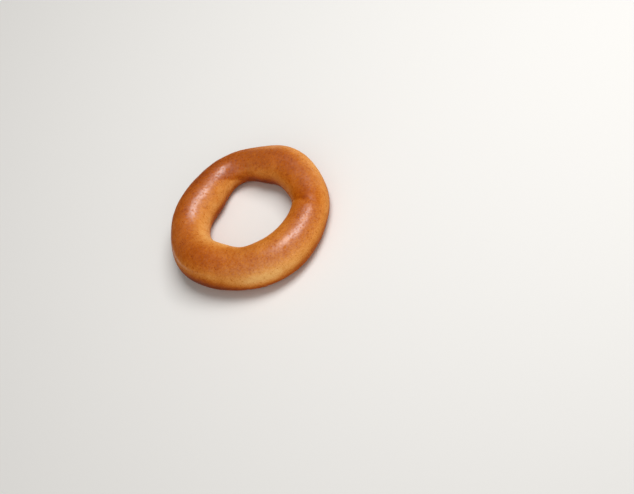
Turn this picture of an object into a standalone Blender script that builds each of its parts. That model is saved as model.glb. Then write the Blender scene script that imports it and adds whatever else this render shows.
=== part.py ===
"""A thin ring bagel: one rope of dough joined end to end, baked lying on its flat underside.

Metres, +Z up. The ring lies on z = 0 with the middle of its box over the origin. Angles round the ring are
in degrees from +X towards +Y, and angles round the rope run from its crest, positive towards the outside.
"""

import math

import bmesh
import bpy
from mathutils import Vector, noise

# Driving sizes
OUTER_WIDTH = 0.1016
ROPE_THICKNESS = 0.0242
BASE_ANGLE = 148.0  # where the round of the rope meets the flat underside

ROPE_RADIUS = ROPE_THICKNESS / 2.0
RING_RADIUS = (OUTER_WIDTH - ROPE_THICKNESS) / 2.0

# Swells of the hand-rolled rope: how many go round the ring, how high they are, and where one has its crest
RING_SWELLS = (
    (2, 0.00090, -68.0),
    (3, 0.00085, 60.0),
    (4, 0.00080, -12.0),
    (5, 0.00035, 7.0),
    (6, 0.00045, 20.0),
    (7, 0.00030, -25.0),
)
ROPE_SWELLS = (
    (1, 0.00115, -133.0),
    (2, 0.00030, 13.0),
    (3, 0.00040, 17.0),
    (4, 0.00055, 20.0),
    (5, 0.00025, -27.0),
)

# The join of the rope's ends: a shallow crease over the crest, which leans as it goes round the rope
SEAM_TURN = 323.0
SEAM_LEAN = -0.06  # degrees of turn for each degree round the rope
SEAM_DEPTH = 0.0006
SEAM_HALF_WIDTH = 3.2

# The low lip of dough beside the crease
LIP_TURN = 330.0
LIP_HEIGHT = 0.00035
LIP_HALF_WIDTH = 5.0

# Where the crease and its lip are strongest round the rope, and how far they reach from there
SEAM_MIDDLE = -20.0
SEAM_REACH = 62.0

# A soft kink on the inner side of the far stretch
KINK_TURN = 84.0
KINK_DEPTH = 0.0004
KINK_HALF_WIDTH = 4.0
KINK_MIDDLE = -70.0
KINK_REACH = 40.0

# Low dimples of the crust, which die out beside the underside, and the ragged edge of the underside
DIMPLE_HEIGHT = 0.00022
DIMPLE_SPACING = 0.0085
RELIEF_FADE = 20.0
EDGE_RAGGED = 0.0005
EDGE_SPACING = 0.0032

# Fineness of the mesh
STATIONS = 108
ARC_SPANS = 26
BASE_SPANS = 4
BASE_TOLERANCE = 0.5  # degrees
MERGE_DISTANCE = 1e-6

CRUST_COLOUR = (0.36, 0.115, 0.022, 1.0)
CRUST_ROUGHNESS = 0.38


def clear_scene():
    """Remove whatever objects the scene starts with."""
    for thing in list(bpy.data.objects):
        bpy.data.objects.remove(thing, do_unlink=True)


def crust_material():
    """Browned, lightly glazed crust."""
    material = bpy.data.materials.new("crust")
    material.use_nodes = True
    shader = material.node_tree.nodes["Principled BSDF"]
    shader.inputs["Base Color"].default_value = CRUST_COLOUR
    shader.inputs["Roughness"].default_value = CRUST_ROUGHNESS
    shader.inputs["Metallic"].default_value = 0.0
    return material


def swell(turn, swells):
    """Height of a set of swells at an angle round the ring."""
    return sum(height * math.cos(count * math.radians(turn - crest)) for count, height, crest in swells)


def bump(offset, half_width):
    """A smooth hill of height 1 that has all but gone two half widths from its middle."""
    return math.exp(-((offset / half_width) ** 2))


def turn_between(turn, other):
    """Signed angle in degrees from one place round the ring to another."""
    return (turn - other + 180.0) % 360.0 - 180.0


def ring_point(turn, around, rope, ring):
    """A point of a ring of this radius and rope, with the rope's middle line at z = 0."""
    out = ring + rope * math.sin(math.radians(around))
    height = rope * math.cos(math.radians(around))
    return Vector((out * math.cos(math.radians(turn)), out * math.sin(math.radians(turn)), height))


def relief(turn, around):
    """How far the crust stands out from the plain round rope, with its creases and low dimples."""
    along_seam = bump(around - SEAM_MIDDLE, SEAM_REACH)
    seam = along_seam * bump(turn_between(turn, SEAM_TURN + SEAM_LEAN * around), SEAM_HALF_WIDTH)
    lip = along_seam * bump(turn_between(turn, LIP_TURN), LIP_HALF_WIDTH)
    kink = bump(around - KINK_MIDDLE, KINK_REACH) * bump(turn_between(turn, KINK_TURN), KINK_HALF_WIDTH)
    dimples = noise.noise(ring_point(turn, around, ROPE_RADIUS, RING_RADIUS) / DIMPLE_SPACING)
    return LIP_HEIGHT * lip - SEAM_DEPTH * seam - KINK_DEPTH * kink + DIMPLE_HEIGHT * dimples


def bread_point(turn, across, up):
    """Where a point of the even ring, given by its place in the unit section, lies on the uneven bread."""
    rope = ROPE_RADIUS + swell(turn, ROPE_SWELLS)
    ring = RING_RADIUS + swell(turn, RING_SWELLS)
    around = math.degrees(math.atan2(across, up))
    if abs(around) > BASE_ANGLE - BASE_TOLERANCE:
        ragged = noise.noise(ring_point(turn, around, EDGE_SPACING, RING_RADIUS) / EDGE_SPACING)
        out = ring + across * (rope + EDGE_RAGGED * ragged)
        return Vector((out * math.cos(math.radians(turn)), out * math.sin(math.radians(turn)), 0.0))
    fade = min(1.0, (BASE_ANGLE - abs(around)) / RELIEF_FADE)
    point = ring_point(turn, around, rope + fade * relief(turn, around), ring)
    point.z -= rope * math.cos(math.radians(BASE_ANGLE))
    return point


def section_outline():
    """The rope's section in units of its radius: an arc over the top, then the flat underside."""
    arc = [math.radians(BASE_ANGLE * (2.0 * step / ARC_SPANS - 1.0)) for step in range(ARC_SPANS + 1)]
    points = [(math.sin(angle), math.cos(angle)) for angle in arc]
    half_base, base_up = points[-1]
    for step in range(1, BASE_SPANS):
        points.append((half_base * (1.0 - 2.0 * step / BASE_SPANS), base_up))
    return points


def even_ring():
    """The section spun once round the ring's axis."""
    ring = bmesh.new()
    outline = [
        ring.verts.new((RING_RADIUS + ROPE_RADIUS * across, 0.0, ROPE_RADIUS * up))
        for across, up in section_outline()
    ]
    edges = [ring.edges.new(pair) for pair in zip(outline, outline[1:] + outline[:1])]
    bmesh.ops.spin(
        ring,
        geom=outline + edges,
        cent=(0.0, 0.0, 0.0),
        axis=(0.0, 0.0, 1.0),
        angle=2.0 * math.pi,
        steps=STATIONS,
        use_merge=True,
    )
    bmesh.ops.remove_doubles(ring, verts=ring.verts, dist=MERGE_DISTANCE)
    return ring


def shape_bread(ring):
    """Move every point of the even ring to its place on the bread."""
    for vert in ring.verts:
        turn = math.degrees(math.atan2(vert.co.y, vert.co.x))
        across = (math.hypot(vert.co.x, vert.co.y) - RING_RADIUS) / ROPE_RADIUS
        vert.co = bread_point(turn, across, vert.co.z / ROPE_RADIUS)


def centre_over_origin(ring):
    """Bring the middle of the ring's box over the origin, and leave its height as it is."""
    middle = Vector((0.0, 0.0, 0.0))
    for side in (0, 1):
        places = [vert.co[side] for vert in ring.verts]
        middle[side] = (min(places) + max(places)) / 2.0
    bmesh.ops.translate(ring, verts=ring.verts, vec=-middle)


def build_bagel():
    """The whole bagel, one closed body."""
    ring = even_ring()
    shape_bread(ring)
    centre_over_origin(ring)
    bmesh.ops.recalc_face_normals(ring, faces=ring.faces)
    mesh = bpy.data.meshes.new("bagel")
    ring.to_mesh(mesh)
    ring.free()
    mesh.shade_smooth()
    mesh.materials.append(crust_material())
    bpy.context.scene.collection.objects.link(bpy.data.objects.new("bagel", mesh))


clear_scene()
build_bagel()
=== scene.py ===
import math

import bpy
import numpy as np
from mathutils import Matrix, Vector


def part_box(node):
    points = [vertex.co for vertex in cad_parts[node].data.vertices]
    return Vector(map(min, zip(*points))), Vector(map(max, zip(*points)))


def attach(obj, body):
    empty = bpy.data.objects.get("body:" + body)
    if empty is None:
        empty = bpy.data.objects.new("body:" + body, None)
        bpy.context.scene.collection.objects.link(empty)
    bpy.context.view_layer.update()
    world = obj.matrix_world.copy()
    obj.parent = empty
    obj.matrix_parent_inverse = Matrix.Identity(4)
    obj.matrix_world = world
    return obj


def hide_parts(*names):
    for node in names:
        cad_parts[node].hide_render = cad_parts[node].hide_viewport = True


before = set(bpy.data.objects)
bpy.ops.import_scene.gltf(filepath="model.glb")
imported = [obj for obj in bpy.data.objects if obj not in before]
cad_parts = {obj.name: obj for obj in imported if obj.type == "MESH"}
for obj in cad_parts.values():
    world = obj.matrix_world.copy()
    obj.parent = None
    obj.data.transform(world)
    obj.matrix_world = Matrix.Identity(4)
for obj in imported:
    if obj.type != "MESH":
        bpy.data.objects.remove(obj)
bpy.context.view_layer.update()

# Lengths are in metres and angles in degrees. The turn runs round the ring from +X towards +Y,
# and around runs round the rope from its crest, positive towards the outside.


# The bread's form

breadForm = dict(
    outerWidth=0.1016,
    ropeThickness=0.0242,
    baseAngle=148.0,  # where the round of the rope meets the flat underside
    baseSoftness=0.05,  # rounding of that edge, as a share of the rope's radius
    # both lists of swells are results of a least-squares fit to the photograph's outline, rounded
    ringSwells=(  # how many go round the ring, how high they are, where one has its crest
        (2, 0.00090, -68.0),
        (3, 0.00085, 60.0),
        (4, 0.00080, -12.0),
        (5, 0.00035, 7.0),
        (6, 0.00045, 20.0),
        (7, 0.00030, -25.0),
    ),
    ropeSwells=(
        (1, 0.00115, -133.0),
        (2, 0.00030, 13.0),
        (3, 0.00040, 17.0),
        (4, 0.00055, 20.0),
        (5, 0.00025, -27.0),
    ),
    seamTurn=323.0,  # where the rope's ends join
    seamLean=-0.06,  # how far its turn shifts for each degree around the rope
    seamDepth=0.00040,
    seamHalfWidth=3.2,
    creaseDepth=0.00006,  # the fine line in the seam's middle
    creaseHalfWidth=1.3,
    lipTurn=330.0,  # the low lip beside it
    lipHeight=0.00010,
    lipHalfWidth=5.0,
    seamMiddle=-20.0,  # around, where the seam is deepest
    seamReach=62.0,
    kinkTurn=84.0,  # the dent in the far inner flank
    kinkDepth=0.0004,
    kinkHalfWidth=4.0,
    kinkMiddle=-70.0,
    kinkReach=32.0,
    dimples=((0.0085, 0.00013), (0.0038, 0.00006), (0.0017, 0.00003)),  # spacing and height
    pitCount=900,
    pitRadius=(0.0003, 0.0008),
    pitHeight=(-0.00009, -0.00003),
    blisterCount=70,
    blisterRadius=(0.0008, 0.0018),
    blisterHeight=(0.00004, 0.00012),
    baseFade=(-6.0, 2.0),  # from the base angle, where the flank's relief fades and the hollows begin
    baseHollows=((0.0060, 0.00025), (0.0016, 0.00010)),  # spacing and depth
    rimSpacing=0.0017,  # the ragged rim of the underside
    rimFlare=0.0003,
    rimHalfWidth=5.0,
    turnSteps=608,
    aroundSteps=160,
)


def swellHeight(turn, swells):
    # sum of cosines round the ring, each with its own count, height and crest
    return sum(height * np.cos(count * np.radians(turn - crest)) for count, height, crest in swells)


def bump(offset, halfWidth):
    # a hill of height 1: e to the minus square of offset over half width
    return np.exp(-((offset / halfWidth) ** 2))


def turnBetween(turn, other):
    # signed angle from one place round the ring to another, from -180 to 180
    return (turn - other + 180.0) % 360.0 - 180.0


def smoothStep(value, low, high):
    # 0 below low and 1 above high, with 3t^2 - 2t^3 between them
    share = np.clip((value - low) / (high - low), 0.0, 1.0)
    return share * share * (3.0 - 2.0 * share)


def latticeNoise(points, spacing, seed):
    # random values from -1 to 1 on a cubic lattice, blended between the eight corners round each point
    side = 48  # the lattice repeats after this many cells
    values = np.random.default_rng(seed).uniform(-1.0, 1.0, (side, side, side))
    scaled = points / spacing
    corner = np.floor(scaled).astype(int)
    share = smoothStep(scaled - corner, 0.0, 1.0)
    total = np.zeros(points.shape[:-1])
    for stepX in (0, 1):
        for stepY in (0, 1):
            for stepZ in (0, 1):
                step = np.array((stepX, stepY, stepZ))
                weight = np.prod(np.where(step == 1, share, 1.0 - share), axis=-1)
                cell = (corner + step) % side
                total += weight * values[cell[..., 0], cell[..., 1], cell[..., 2]]
    return total


def ringPoints(turn, out, up):
    # a point at a distance out from the ring's axis and a height up, turned about that axis
    flat = np.radians(turn)
    return np.stack(np.broadcast_arrays(out * np.cos(flat), out * np.sin(flat), up), axis=-1)


def scatterSpots(relief, places, count, radii, heights, seed):
    # adds small round hills, each e to the minus square of distance over radius, at random grid points
    random = np.random.default_rng(seed)
    rowCount, columnCount = relief.shape
    gridReach = 5  # how many grid steps away a hill is still worked out
    reach = np.arange(-gridReach, gridReach + 1)
    for _ in range(count):
        row = random.integers(rowCount)
        column = random.integers(columnCount)
        window = np.ix_((row + reach) % rowCount, (column + reach) % columnCount)
        distance = np.linalg.norm(places[window] - places[row, column], axis=-1)
        relief[window] += random.uniform(*heights) * bump(distance, random.uniform(*radii))


def fromSeam(turn, around, form):
    # signed angle round the ring from the seam, whose turn shifts evenly with around
    return turnBetween(turn, form["seamTurn"] + form["seamLean"] * around)


def seamStrength(around, form):
    # a hill round the rope: 1 where the seam is deepest and fading both ways
    return bump(around - form["seamMiddle"], form["seamReach"])


def seamRelief(turn, around, form):
    # a low lip less a groove and a fine crease, each a hill round the ring, all faded round the rope
    away = fromSeam(turn, around, form)
    groove = form["seamDepth"] * bump(away, form["seamHalfWidth"])
    crease = form["creaseDepth"] * bump(away, form["creaseHalfWidth"])
    lip = form["lipHeight"] * bump(turnBetween(turn, form["lipTurn"]), form["lipHalfWidth"])
    return seamStrength(around, form) * (lip - groove - crease)


def breadSurface(form):
    # a rope of uneven radius carried round an uneven ring: the distance out is ring + rope sin(around),
    # and the height is rope cos(around) over the flat underside, rounded where the two meet
    turn = np.arange(form["turnSteps"])[:, None] * 360.0 / form["turnSteps"]
    around = np.arange(form["aroundSteps"])[None, :] * 360.0 / form["aroundSteps"] - 180.0
    turn, around = np.broadcast_arrays(turn, around)
    ropeRadius = form["ropeThickness"] / 2.0
    ringRadius = (form["outerWidth"] - form["ropeThickness"]) / 2.0
    across = np.sin(np.radians(around))
    up = np.cos(np.radians(around))
    even = ringPoints(turn, ringRadius + ropeRadius * across, ropeRadius * up)

    relief = seamRelief(turn, around, form)
    kink = bump(turnBetween(turn, form["kinkTurn"]), form["kinkHalfWidth"])
    relief -= form["kinkDepth"] * kink * bump(around - form["kinkMiddle"], form["kinkReach"])
    for seed, (spacing, height) in enumerate(form["dimples"]):
        relief += height * latticeNoise(even, spacing, seed)
    pits = np.zeros(relief.shape)
    scatterSpots(pits, even, form["pitCount"], form["pitRadius"], form["pitHeight"], seed=11)
    scatterSpots(pits, even, form["blisterCount"], form["blisterRadius"], form["blisterHeight"], seed=12)
    relief += pits

    fromBase = np.abs(around) - form["baseAngle"]
    underside = smoothStep(fromBase, *form["baseFade"])
    rim = bump(fromBase, form["rimHalfWidth"]) * latticeNoise(even, form["rimSpacing"], seed=21)
    relief = relief * (1.0 - underside) + form["rimFlare"] * rim

    plainRope = ropeRadius + swellHeight(turn, form["ropeSwells"])
    rope = plainRope + relief
    ring = ringRadius + swellHeight(turn, form["ringSwells"])
    gap = rope * up - plainRope * math.cos(math.radians(form["baseAngle"]))
    height = (gap + np.sqrt(gap * gap + (form["baseSoftness"] * plainRope) ** 2)) / 2.0
    for seed, (spacing, depth) in enumerate(form["baseHollows"], start=31):
        height += underside * depth * (1.0 + latticeNoise(even, spacing, seed)) / 2.0
    places = ringPoints(turn, ring + rope * across, height)
    return turn, around, even, places, pits


def gridMesh(name, places):
    # one quad between each point and its neighbours, closed both ways, with its faces pointing out
    rowCount, columnCount = places.shape[:2]
    index = np.arange(rowCount * columnCount).reshape(rowCount, columnCount)
    right = np.roll(index, -1, axis=0)
    corners = np.stack((index, np.roll(index, -1, axis=1), np.roll(right, -1, axis=1), right), axis=-1)
    mesh = bpy.data.meshes.new(name)
    mesh.vertices.add(index.size)
    mesh.vertices.foreach_set("co", places.astype(np.float32).ravel())
    mesh.loops.add(corners.size)
    mesh.loops.foreach_set("vertex_index", corners.astype(np.int32).ravel())
    mesh.polygons.add(index.size)
    mesh.polygons.foreach_set("loop_start", np.arange(0, corners.size, 4, dtype=np.int32))
    mesh.update(calc_edges=True)
    mesh.validate()
    mesh.shade_smooth()
    return mesh


def addMask(mesh, name, values):
    # one number for each point of the mesh, which the material reads by name
    mask = mesh.attributes.new(name, "FLOAT", "POINT")
    mask.data.foreach_set("value", values.astype(np.float32).ravel())


def putInScene(name, data):
    # a new object at the origin
    thing = bpy.data.objects.new(name, data)
    bpy.context.scene.collection.objects.link(thing)
    return thing


# Where the oven browned the crust, from 0 for pale gold upwards, with painted shade in a few patches and at
# the foot, and where it is glazed

bakeAndShadePattern = dict(
    crown=0.76,
    crownSwing=0.07,  # how much browner the far side is than the near side
    crownTurn=87.0,
    # The crown, the patches and the gold flank are rounded results of least-squares fits to the
    # photograph's browning and shade, begun from given values. Some were changed afterwards.
    patches=(  # turn, how far it reaches, around, how far it reaches, how much browner or paler it is
        (250.0, 26.0, 74.0, 22.0, -0.65),  # pale outer flanks
        (0.0, 38.0, 73.0, 35.0, -0.50),
        (297.0, 36.0, 81.0, 25.0, -0.24),
        (210.0, 28.0, 57.0, 16.0, -0.18),
        (120.0, 55.0, 80.0, 26.0, -0.30),
        (182.0, 15.0, 54.0, 12.0, -0.20),
        (37.0, 24.0, 35.0, 16.0, -0.25),
        (260.0, 21.0, 94.0, 15.0, -0.20),
        (321.0, 16.0, 100.0, 15.0, -0.20),
        (188.0, 43.0, -59.0, 29.0, -0.63),  # pale inner flanks
        (271.0, 50.0, -64.0, 26.0, -0.40),
        (22.0, 51.0, -61.0, 21.0, -0.33),
        (156.0, 34.0, -97.0, 20.0, -0.40),
        (85.0, 16.0, -95.0, 19.0, -0.30),
        (266.0, 40.0, -10.0, 30.0, -0.13),  # paler stretches of the crown
        (222.0, 24.0, 50.0, 30.0, -0.07),
        (52.0, 22.0, -45.0, 25.0, -0.06),
        (22.0, 14.0, 52.0, 13.0, -0.12),
        (200.0, 35.0, 94.0, 23.0, 0.54),  # where it browned more; the first of these, low on the outer flank, is browner crust with painted shade
        (331.0, 9.0, -10.0, 30.0, 0.17),
        (204.0, 27.0, 19.0, 28.0, 0.15),
        (315.0, 19.0, 8.0, 18.0, 0.16),
        (10.0, 22.0, 8.0, 18.0, 0.14),
        (99.0, 26.0, 15.0, 21.0, 0.15),
        # these two, low on the inner flank inside the hole, are browner crust with painted shade
        (40.0, 28.0, -97.0, 18.0, 0.32),
        (118.0, 15.0, -111.0, 17.0, 0.25),
        (325.0, 30.0, 48.0, 30.0, 0.09),
        (77.0, 9.0, -42.0, 15.0, 0.12),
        (114.0, 20.0, -65.0, 22.0, 0.07),
    ),
    kinkGold=(110.0, 46.0, -75.0, 38.0, -0.49),  # the gold inner flank that stops short at the kink
    kinkEdge=(82.0, 87.0),
    kinkLean=0.36,
    kinkMiddle=-65.0,
    footAround=108.0,  # the flank browns here and pales again towards the underside; the darkening is partly painted shade near the floor
    footHalfWidth=17.0,
    footBrownAndShade=0.24,
    seamBands=((1.2, 1.4, 0.13), (-4.0, 3.5, -0.10)),  # how far beside the seam, half width and change
    pitBrown=0.20,
    brownest=1.3,
    glazeSwing=26.0,  # how far the middle of the glaze swings round the rope
    glazeTurn=290.0,  # where it lies furthest out
    glazeEdge=(18.0, 56.0),  # where it begins to fade and where it ends
    dullPlaces=((325.0, 11.0, 0.84), (200.0, 36.0, 0.55)),  # turn, half width and how dull it is there
    streak=(177.0, 26.0, 54.5, 4.0, 0.95),  # a thin glossy streak outside the band, placed like a patch
    baseEdge=(-5.0, 3.0),  # from the base angle, where the underside's finish begins and is full
    baseRagged=5.0,  # how far that edge strays up the flank and back
    baseRaggedSpacing=0.0024,
)


def ovalPatch(turn, around, patch):
    # a soft oval: a hill round the ring times a hill round the rope
    middleTurn, turnReach, middleAround, aroundReach, change = patch
    return change * bump(turnBetween(turn, middleTurn), turnReach) * bump(around - middleAround, aroundReach)


def browningAndShade(turn, around, pits, form, look):
    # the crown's brown, which swings round the ring, plus the patches, a few of them partly painted shade,
    # the gold flank at the kink, the foot, browned and partly painted shade, the bands beside the seam and
    # the pits
    brown = look["crown"] + look["crownSwing"] * np.cos(np.radians(turn - look["crownTurn"]))
    for patch in look["patches"]:
        brown = brown + ovalPatch(turn, around, patch)
    fromKink = turn - look["kinkLean"] * (around - look["kinkMiddle"])
    brown = brown + ovalPatch(turn, around, look["kinkGold"]) * smoothStep(fromKink, *look["kinkEdge"])
    # the foot: browner crust and painted shade near the floor
    brown = brown + look["footBrownAndShade"] * bump(np.abs(around) - look["footAround"], look["footHalfWidth"])
    for aside, halfWidth, change in look["seamBands"]:
        band = bump(fromSeam(turn, around, form) - aside, halfWidth)
        brown = brown + change * seamStrength(around, form) * band
    brown = brown + look["pitBrown"] * np.clip(pits / min(form["pitHeight"]), 0.0, 1.0)
    return np.clip(brown, 0.0, look["brownest"])


def glazed(turn, around, look):
    # 1 along a middle line that swings round the rope and 0 beyond its edge, dulled at the dull places,
    # plus the streak
    middle = look["glazeSwing"] * np.cos(np.radians(turn - look["glazeTurn"]))
    spread = 1.0 - smoothStep(np.abs(around - middle), *look["glazeEdge"])
    for dullTurn, halfWidth, dullness in look["dullPlaces"]:
        spread = spread * (1.0 - dullness * bump(turnBetween(turn, dullTurn), halfWidth))
    return np.clip(spread + ovalPatch(turn, around, look["streak"]), 0.0, 1.0)


def undersideShare(around, even, form, look):
    # 1 on the underside and 0 on the flank, with an edge that strays by lattice noise
    strayed = np.abs(around) + look["baseRagged"] * latticeNoise(even, look["baseRaggedSpacing"], seed=41)
    return smoothStep(strayed - form["baseAngle"], *look["baseEdge"])


def makeBread(form, look):
    # the bread over the middle of the frame's bagel, with its lowest point at height 0 and its masks
    turn, around, even, places, pits = breadSurface(form)
    low = places.min(axis=(0, 1))
    high = places.max(axis=(0, 1))
    cadLow, cadHigh = (np.array(corner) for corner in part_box("bagel"))
    offset = (low + high) / 2.0 - (cadLow + cadHigh) / 2.0
    mesh = gridMesh("crust", places - np.array((offset[0], offset[1], low[2])))
    addMask(mesh, "browningAndShade", browningAndShade(turn, around, pits, form, look))
    addMask(mesh, "glaze", glazed(turn, around, look))
    addMask(mesh, "underside", undersideShare(around, even, form, look))
    return putInScene("crust", mesh)


bread = makeBread(breadForm, bakeAndShadePattern)
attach(bread, "root")
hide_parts("bagel")
print("bread shaped,", len(bread.data.polygons), "faces")


# The crust's finish

crustLook = dict(
    bakeColours=(  # how brown it is, as a share of the brownest, and its colour there
        (0.00, (0.90, 0.48, 0.155)),
        (0.19, (0.77, 0.325, 0.075)),
        (0.38, (0.62, 0.202, 0.028)),
        (0.58, (0.455, 0.106, 0.005)),
        (0.77, (0.32, 0.057, 0.001)),
        (1.00, (0.17, 0.028, 0.001)),
    ),
    clouds=dict(scale=130.0, detail=3.0, strength=0.34),  # mottles: in the colour
    blotches=dict(scale=420.0, detail=2.0, strength=0.26),  # in the colour and bump
    grain=dict(scale=1500.0, detail=1.0, strength=0.55),  # in the colour, gloss and bump
    stipple=dict(scale=750.0, detail=0.0, strength=1.00),  # in the gloss and bump
    flakes=dict(scale=640.0, detail=4.0, strength=1.0),  # in the roughness and the underside's colour
    mottleRoughness=0.6,
    freckles=dict(scale=850.0, share=0.24, radius=0.50),  # small spots: how close, how many, how big
    dots=dict(scale=620.0, share=0.12, radius=0.36),
    smallestSpot=0.4,  # as a share of the largest
    freckleBrown=0.45,
    dotPale=-0.22,
    undersideBrown=0.70,
    roughness=(0.44, 0.58),
    roughFlakes=(-0.3, 0.3),  # the flakes' values where the crust is smoothest and roughest
    undersideRoughness=0.85,
    specularLevel=0.03,
    coatWeight=(0.02, 0.93),
    coatIor=1.75,
    coatRoughness=0.38,
    coatBreak=2.2,  # how much the stipple and grain break the gloss up
    freckleDull=0.6,
    freckleDepth=0.6,  # in the bump, beside the grain, blotches and stipple
    dotHeight=0.3,
    bumpDistance=0.00012,
    bumpStrength=0.8,
)


def addNode(tree, kind, settings=None, sockets=None):
    # a shader node with its properties and the numbers on its sockets
    node = tree.nodes.new("ShaderNode" + kind)
    for name, value in (settings or {}).items():
        setattr(node, name, value)
    for name, value in (sockets or {}).items():
        node.inputs[name].default_value = value
    return node


def joinMath(tree, operation, *values, clamp=False):
    # the result of a sum or product of sockets and numbers
    node = addNode(tree, "Math", dict(operation=operation, use_clamp=clamp))
    for socket, value in zip(node.inputs, values):
        if isinstance(value, (int, float)):
            socket.default_value = value
        else:
            tree.links.new(value, socket)
    return node.outputs[0]


def addScaled(tree, total, change, share):
    # total + share times change
    return joinMath(tree, "ADD", total, joinMath(tree, "MULTIPLY", change, share))


def mapRange(tree, value, fromRange, toRange, settings=None):
    # value moved evenly from one range to another
    node = addNode(tree, "MapRange", settings, {
        "From Min": fromRange[0], "From Max": fromRange[1], "To Min": toRange[0], "To Max": toRange[1]})
    tree.links.new(value, node.inputs["Value"])
    return node.outputs["Result"]


def newGroup(name, inputs, output):
    # an empty node group with a place, the numbers named in inputs, and one number out
    group = bpy.data.node_groups.new(name, "ShaderNodeTree")
    group.interface.new_socket("Place", in_out="INPUT", socket_type="NodeSocketVector")
    for inputName in inputs:
        group.interface.new_socket(inputName, in_out="INPUT", socket_type="NodeSocketFloat")
    group.interface.new_socket(output, in_out="OUTPUT", socket_type="NodeSocketFloat")
    return group, group.nodes.new("NodeGroupInput"), group.nodes.new("NodeGroupOutput")


def makeMottleGroup(look):
    # noise less its middle value, times strength: from -strength/2 to strength/2
    group, given, result = newGroup("mottle", ("Scale", "Detail", "Strength"), "Change")
    noise = addNode(group, "TexNoise", sockets={"Roughness": look["mottleRoughness"]})
    group.links.new(given.outputs["Place"], noise.inputs["Vector"])
    group.links.new(given.outputs["Scale"], noise.inputs["Scale"])
    group.links.new(given.outputs["Detail"], noise.inputs["Detail"])
    centred = joinMath(group, "SUBTRACT", noise.outputs["Fac"], 0.5)
    group.links.new(joinMath(group, "MULTIPLY", centred, given.outputs["Strength"]), result.inputs["Change"])
    return group


def makeFleckGroup(look):
    # small soft round spots of uneven size in some of the cells of a Voronoi pattern:
    # 1 less distance over radius, so 1 in a spot's middle and 0 outside
    group, given, result = newGroup("flecks", ("Scale", "Share", "Radius"), "Mask")
    cells = addNode(group, "TexVoronoi")
    group.links.new(given.outputs["Place"], cells.inputs["Vector"])
    group.links.new(given.outputs["Scale"], cells.inputs["Scale"])
    parts = addNode(group, "SeparateColor")
    group.links.new(cells.outputs["Color"], parts.inputs["Color"])
    chosen = joinMath(group, "LESS_THAN", parts.outputs["Red"], given.outputs["Share"])
    smallest = look["smallestSpot"]
    size = joinMath(group, "MULTIPLY_ADD", parts.outputs["Green"], 1.0 - smallest, smallest)
    radius = joinMath(group, "MULTIPLY", size, given.outputs["Radius"])
    nearness = joinMath(group, "DIVIDE", cells.outputs["Distance"], radius)
    inside = joinMath(group, "SUBTRACT", 1.0, nearness, clamp=True)
    group.links.new(joinMath(group, "MULTIPLY", inside, chosen), result.inputs["Mask"])
    return group


def placeGroup(tree, group, place, values):
    # one use of a group, with its own numbers on the sockets of the same names
    sockets = {name.capitalize(): value for name, value in values.items()}
    node = addNode(tree, "Group", dict(node_tree=group), sockets)
    tree.links.new(place, node.inputs["Place"])
    return node.outputs[0]


def blend(tree, mask, first, second):
    # first where the mask is 0 and second where it is 1
    node = addNode(tree, "Mix")
    for socketName, value in (("Factor", mask), ("A", first), ("B", second)):
        if isinstance(value, float):
            node.inputs[socketName].default_value = value
        else:
            tree.links.new(value, node.inputs[socketName])
    return node.outputs["Result"]


def fillRamp(ramp, stops):
    # one colour stop for each position and colour given
    elements = ramp.color_ramp.elements
    while len(elements) < len(stops):
        elements.new(0.5)
    for element, (position, colour) in zip(elements, stops):
        element.position = position
        element.color = (*colour, 1.0)


def newMaterial(name):
    # a material with its node tree and its Principled shader
    material = bpy.data.materials.new(name)
    material.use_nodes = True
    return material, material.node_tree, material.node_tree.nodes["Principled BSDF"]


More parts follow.
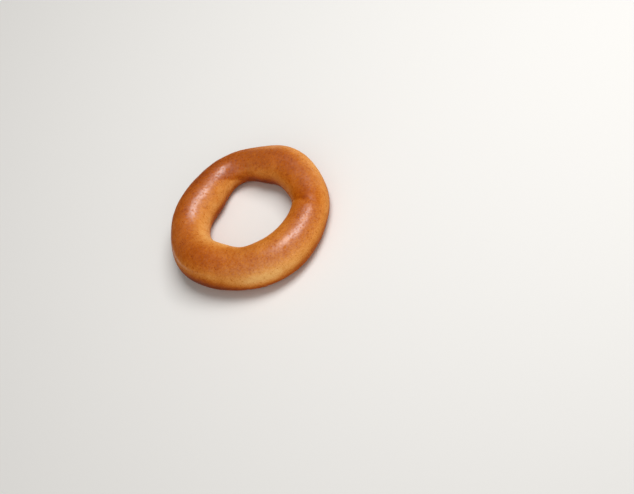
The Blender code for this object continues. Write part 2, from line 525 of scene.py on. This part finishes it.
def makeCrust(look, brownest):
    # colour: browning and painted shade plus mottles, freckles and pale dots, read off a ramp of baked
    # colours
    material, tree, shader = newMaterial("glazed crust")
    link = tree.links.new
    place = addNode(tree, "TexCoord").outputs["Object"]
    masks = {name: addNode(tree, "Attribute", dict(attribute_name=name)).outputs["Fac"]
             for name in ("browningAndShade", "glaze", "underside")}
    mottle, flecks = makeMottleGroup(look), makeFleckGroup(look)
    clouds, blotches, grain, stipple, flakes = (
        placeGroup(tree, mottle, place, look[name])
        for name in ("clouds", "blotches", "grain", "stipple", "flakes"))
    freckles, dots = (placeGroup(tree, flecks, place, look[name]) for name in ("freckles", "dots"))

    brown = masks["browningAndShade"]
    for change in (clouds, blotches, grain):
        brown = joinMath(tree, "ADD", brown, change)
    brown = addScaled(tree, brown, freckles, look["freckleBrown"])
    brown = addScaled(tree, brown, dots, look["dotPale"])
    overall = blend(tree, masks["underside"], brown, joinMath(tree, "ADD", flakes, look["undersideBrown"]))
    ramp = addNode(tree, "ValToRGB")
    fillRamp(ramp, look["bakeColours"])
    link(joinMath(tree, "DIVIDE", overall, brownest), ramp.inputs["Fac"])
    link(ramp.outputs["Color"], shader.inputs["Base Color"])

    rough = mapRange(tree, flakes, look["roughFlakes"], look["roughness"])
    link(blend(tree, masks["underside"], rough, look["undersideRoughness"]), shader.inputs["Roughness"])

    # gloss: the glaze's coat, dulled by the freckles and broken up by the stipple and grain
    coat = mapRange(tree, masks["glaze"], (0.0, 1.0), look["coatWeight"])
    broken = addScaled(tree, 1.0, freckles, -look["freckleDull"])
    for change in (stipple, grain):
        broken = addScaled(tree, broken, change, look["coatBreak"])
    link(joinMath(tree, "MULTIPLY", coat, broken, clamp=True), shader.inputs["Coat Weight"])
    shader.inputs["Coat Roughness"].default_value = look["coatRoughness"]
    shader.inputs["Coat IOR"].default_value = look["coatIor"]
    shader.inputs["Specular IOR Level"].default_value = look["specularLevel"]

    height = joinMath(tree, "ADD", joinMath(tree, "ADD", grain, blotches), stipple)
    height = addScaled(tree, height, freckles, -look["freckleDepth"])
    height = addScaled(tree, height, dots, look["dotHeight"])
    bumpSockets = {"Strength": look["bumpStrength"], "Distance": look["bumpDistance"]}
    bumps = addNode(tree, "Bump", sockets=bumpSockets)
    link(height, bumps.inputs["Height"])
    link(bumps.outputs["Normal"], shader.inputs["Normal"])
    return material


bread.data.materials.append(makeCrust(crustLook, bakeAndShadePattern["brownest"]))
print("crust finished")


# Floor, light and camera

studio = dict(
    floorSize=6.0,
    floorColour=(0.80, 0.79, 0.77, 1.0),
    floorRoughness=0.7,
    worldColour=(1.0, 0.975, 0.93, 1.0),
    worldStrength=0.10,
    fillStrength=0.75,
    fillDirection=(-0.25, -0.92, 0.25),
    fillReach=(-0.1, 0.95),  # cosines from the fill's middle where it starts and where it is full
    backdropStrength=0.9,
    keyDirection=(0.43, -0.04, 0.902),
    keyDistance=0.9,
    keySize=(0.66, 0.40),
    keyPower=7.3,
)


def makeFloor(look):
    # one square at height 0, centred under the bread
    side = look["floorSize"] / 2.0
    mesh = bpy.data.meshes.new("floor")
    corners = [(-side, -side, 0), (side, -side, 0), (side, side, 0), (-side, side, 0)]
    mesh.from_pydata(corners, [], [(0, 1, 2, 3)])
    material, _, shader = newMaterial("pale floor")
    shader.inputs["Base Color"].default_value = look["floorColour"]
    shader.inputs["Roughness"].default_value = look["floorRoughness"]
    mesh.materials.append(material)
    putInScene("floor", mesh)


def turnTowards(thing, place, right, up, back):
    # puts a light or camera at a place, looking away from back
    thing.matrix_world = Matrix.Translation(place) @ Matrix((right, up, back)).transposed().to_4x4()


def makeSoftbox(look):
    # an oblong soft light that faces the ring from the key direction, with its long side nearly along X
    light = bpy.data.lights.new("key softbox", "AREA")
    light.shape = "RECTANGLE"
    light.size, light.size_y = look["keySize"]
    light.energy = look["keyPower"]
    away = Vector(look["keyDirection"]).normalized()
    side = Vector((0.0, 1.0, 0.0)).cross(away).normalized()
    lamp = putInScene("key softbox", light)
    turnTowards(lamp, away * look["keyDistance"], side, away.cross(side), away)


def makeWorld(look):
    # pale to the camera, and for the light it gives: dim all round, rising to fillStrength where the
    # cosine from fillDirection is high
    world = bpy.data.worlds.new("studio")
    world.use_nodes = True
    tree = world.node_tree
    background = tree.nodes["Background"]
    background.inputs["Color"].default_value = look["worldColour"]
    towards = addNode(tree, "VectorMath", dict(operation="DOT_PRODUCT"))
    towards.inputs[1].default_value = Vector(look["fillDirection"]).normalized()
    tree.links.new(addNode(tree, "TexCoord").outputs["Generated"], towards.inputs[0])
    fill = mapRange(tree, towards.outputs["Value"], look["fillReach"],
                    (look["worldStrength"], look["fillStrength"]), dict(interpolation_type="SMOOTHSTEP"))
    seen = addNode(tree, "LightPath").outputs["Is Camera Ray"]
    tree.links.new(blend(tree, seen, fill, look["backdropStrength"]), background.inputs["Strength"])
    bpy.context.scene.world = world


makeFloor(studio)
makeSoftbox(studio)
makeWorld(studio)


# The ring leans in the photograph, so the camera looks down on it and is rolled to match

photoView = dict(
    width=634,
    height=494,
    ringPixel=(248.5, 218.5),  # where the middle of the ring shows
    ringHeight=0.0103,  # the height over the floor of the point that shows there
    metresPerPixel=0.000597,  # at that point
    elevation=49.0,
    roll=37.4,
    distance=1.2,
    sensorWidth=36.0,
)


def makeCamera(look):
    # looks down at the elevation, turned by the roll, and moved so that the ring shows at its pixel
    rise, roll = math.radians(look["elevation"]), math.radians(look["roll"])
    back = Vector((0.0, -math.cos(rise), math.sin(rise)))
    level = Vector((1.0, 0.0, 0.0))
    above = back.cross(level)
    right = level * math.cos(roll) - above * math.sin(roll)
    up = level * math.sin(roll) + above * math.cos(roll)
    sideways = (look["width"] / 2.0 - look["ringPixel"][0]) * look["metresPerPixel"]
    upwards = (look["ringPixel"][1] - look["height"] / 2.0) * look["metresPerPixel"]
    place = Vector((0.0, 0.0, look["ringHeight"])) + back * look["distance"] + right * sideways + up * upwards
    camera = bpy.data.cameras.new("camera")
    camera.sensor_width = look["sensorWidth"]
    camera.lens = look["sensorWidth"] * look["distance"] / (look["width"] * look["metresPerPixel"])
    holder = putInScene("camera", camera)
    turnTowards(holder, place, right, up, back)
    bpy.context.scene.camera = holder


makeCamera(photoView)
bpy.context.scene.view_settings.view_transform = "Standard"
print("studio ready")
